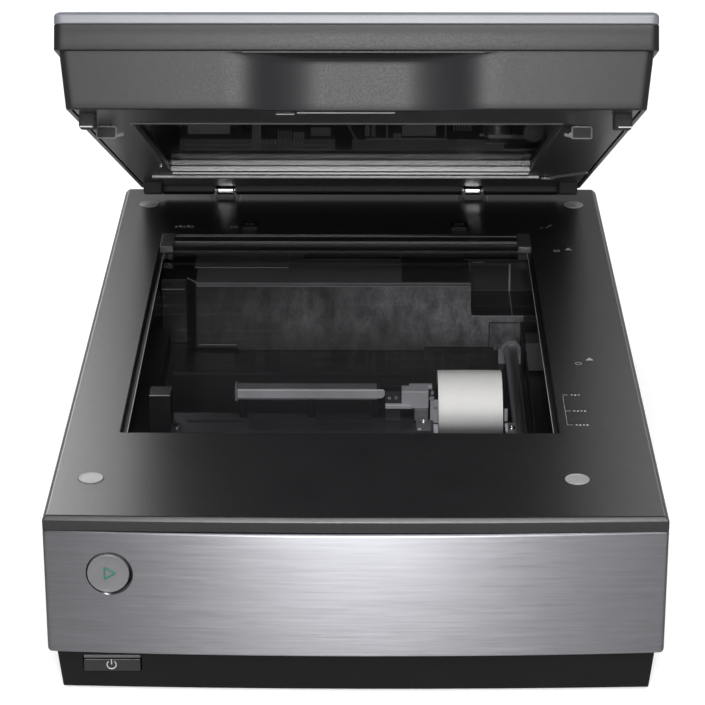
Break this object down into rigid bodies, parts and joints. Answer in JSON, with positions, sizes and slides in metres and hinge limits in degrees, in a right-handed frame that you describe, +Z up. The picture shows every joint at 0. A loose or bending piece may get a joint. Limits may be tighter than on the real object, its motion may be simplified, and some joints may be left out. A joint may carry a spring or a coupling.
{
  "type": "flatbed scanner",
  "caption": "Large flatbed scanner with a hinged, lifting transparency lid, glass bed, belt-driven optical carriage and a brushed silver front with a round start button.",
  "frame": {"origin": "middle of the footprint on the desk, under the object as it rests with its lid part open", "axes": "+Y from the front to the back, +Z up, +X to the right seen from the front"},
  "size_m": [0.308, 0.5184, 0.3292],
  "materials": {
    "deck_plastic": "fine satin texture",
    "case_black": "fine matt texture",
    "inner_black": "matt",
    "fascia_silver": "fine brushed",
    "lid_grey": "fine matt texture",
    "lid_silver": "satin metallic paint",
    "clear_glass": "polished",
    "lid_window_glass": "polished, slightly grey",
    "gasket_pale": "satin",
    "white_strip": "matt",
    "foot_rubber": "matt",
    "belt_rubber": "matt",
    "steel": "ground",
    "spring_steel": "bright",
    "hinge_chrome": "polished",
    "screw_steel": "zinc plated",
    "gear_plastic": "natural acetal",
    "pinion_brass": "turned",
    "motor_metal": "satin",
    "lamp_grey": "satin",
    "bracket_grey": "satin",
    "mirror_glass": "first-surface mirror",
    "lens_black": "anodised look",
    "board_green": "solder mask",
    "socket_black": "matt",
    "ribbon_white": "satin film",
    "button_silver": "satin metallic",
    "button_black": "satin",
    "light_pale": "translucent",
    "cap_grey": "satin",
    "lamp_white": "translucent"
  },
  "bodies": {
    "base": {"lower_case": "case_black", "chassis_floor": "inner_black", "deck_cover": "deck_plastic", "front_fascia": "fascia_silver", "rear_panel": "case_black", "board_cover": "inner_black", "rubber_feet": "foot_rubber", "case_screws": "screw_steel", "deck_caps": "cap_grey", "scan_glass": "clear_glass", "glass_gasket": "gasket_pale", "rear_glass_bar": "deck_plastic", "calibration_strip": "white_strip", "holder_sockets": "case_black", "guide_shaft": "steel", "shaft_holders": "bracket_grey", "slide_rail": "inner_black", "drive_belt": "belt_rubber", "idler_bracket": "steel", "tension_spring": "spring_steel", "drive_motor": "motor_metal", "motor_mount": "steel", "ribbon_channel": "inner_black", "main_board": "board_green", "button_board": "board_green", "dc_inlet": "socket_black", "usb_port": "socket_black", "option_connector": "socket_black", "status_light": "light_pale", "hinge_guides": "case_black"},
    "carriage": {"carriage_frame": "inner_black", "carriage_cover": "inner_black", "lamp_bar": "lamp_grey", "lamp_bracket": "bracket_grey", "mirrors": "mirror_glass", "lens_block": "lens_black", "sensor_board": "board_green", "carriage_bearing": "bracket_grey", "belt_clamp": "bracket_grey", "carriage_slider": "inner_black", "carriage_screws": "screw_steel", "ribbon_cable": "ribbon_white"},
    "belt_gear": {"belt_gear": "gear_plastic"},
    "idler": {"idler_pulley": "gear_plastic"},
    "motor_pinion": {"motor_pinion": "pinion_brass"},
    "start_button": {"start_button": "button_silver"},
    "power_button": {"power_button": "button_black"},
    "hinge_posts": {"hinge_posts": "steel", "hinge_barrels": "hinge_chrome"},
    "lid": {"lid_case": "lid_grey", "lid_top_panel": "lid_silver", "lid_underside": "lid_grey", "lid_window": "lid_window_glass", "lid_pads": "foot_rubber", "lid_rack": "gear_plastic", "lid_hinge_pins": "steel"},
    "lid_lamp": {"lid_lamp": "lamp_white", "lid_motor": "motor_metal"},
    "lid_pinion": {"lid_pinion": "gear_plastic"}
  },
  "joints": [
    {"name": "carriage_slide", "type": "slide", "parent": "base", "child": "carriage", "axis": [0, 1, 0], "range_m": [-0.085, 0.205], "deforming": ["ribbon_cable"]},
    {"name": "belt_gear_spin", "type": "hinge", "parent": "base", "child": "belt_gear", "pos_m": [0.11, 0.18389, 0.0315], "axis": [0, 0, 1], "continuous": true},
    {"name": "idler_spin", "type": "hinge", "parent": "base", "child": "idler", "pos_m": [0.11, -0.22461, 0.0255], "axis": [0, 0, 1], "continuous": true},
    {"name": "motor_pinion_spin", "type": "hinge", "parent": "base", "child": "motor_pinion", "pos_m": [0.089, 0.18389, 0.0345], "axis": [0, 0, 1], "continuous": true},
    {"name": "start_button_press", "type": "slide", "parent": "base", "child": "start_button", "axis": [0, 1, 0], "range_m": [0, 0.001], "stiffness_N_per_m": 500},
    {"name": "power_button_press", "type": "slide", "parent": "base", "child": "power_button", "axis": [0, 1, 0], "range_m": [0, 0.001], "stiffness_N_per_m": 500},
    {"name": "hinge_lift", "type": "slide", "parent": "base", "child": "hinge_posts", "axis": [0, 0, 1], "range_m": [0, 0.025]},
    {"name": "lid_hinge", "type": "hinge", "parent": "hinge_posts", "child": "lid", "pos_m": [0, 0.22319, 0.1045], "axis": [-1, 0, 0], "range_deg": [-23.8, 36.2]},
    {"name": "lid_lamp_slide", "type": "slide", "parent": "lid", "child": "lid_lamp", "axis": [0, -0.915, 0.4035], "range_m": [0, 0.235]},
    {"name": "lid_pinion_spin", "type": "hinge", "parent": "lid_lamp", "child": "lid_pinion", "pos_m": [0.1089, 0.12904, 0.17553], "axis": [0, 0.4035, 0.915], "continuous": true}
  ],
  "couplings": [
    {"joint": "belt_gear_spin", "follows": "carriage_slide", "rad_per_m": -166.67},
    {"joint": "idler_spin", "follows": "carriage_slide", "rad_per_m": -166.67},
    {"joint": "motor_pinion_spin", "follows": "carriage_slide", "rad_per_m": 500},
    {"joint": "lid_pinion_spin", "follows": "lid_lamp_slide", "rad_per_m": 178.57}
  ]
}
